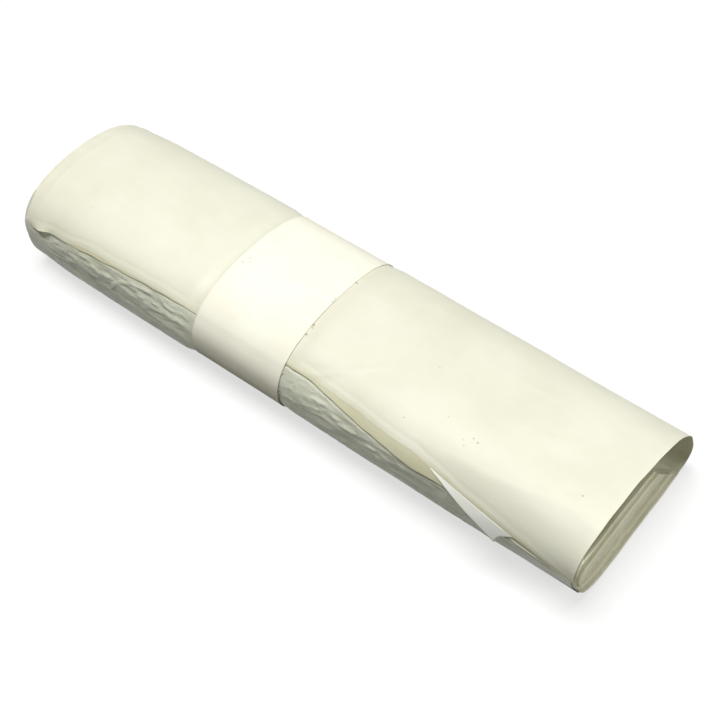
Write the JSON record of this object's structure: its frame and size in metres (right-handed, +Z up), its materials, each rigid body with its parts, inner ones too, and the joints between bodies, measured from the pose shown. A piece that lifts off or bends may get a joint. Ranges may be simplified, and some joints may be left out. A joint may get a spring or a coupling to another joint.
{
  "type": "roll of bin bags",
  "caption": "Coreless flattened roll of cream translucent polythene bin bags held round its waist by a plain white paper band, with one end sprung open.",
  "frame": {"origin": "on the floor, under the middle of the roll's bounding box", "axes": "+X along the roll towards its sprung-open end, +Z up, the web's free edge on the -Y side"},
  "size_m": [0.3, 0.0933, 0.049],
  "materials": {
    "bag_film": "satin translucent polythene film, many layers deep",
    "band_paper": "uncoated white paper"
  },
  "bodies": {
    "root": {"bag_roll": "bag_film", "paper_band": "band_paper"}
  },
  "joints": []
}
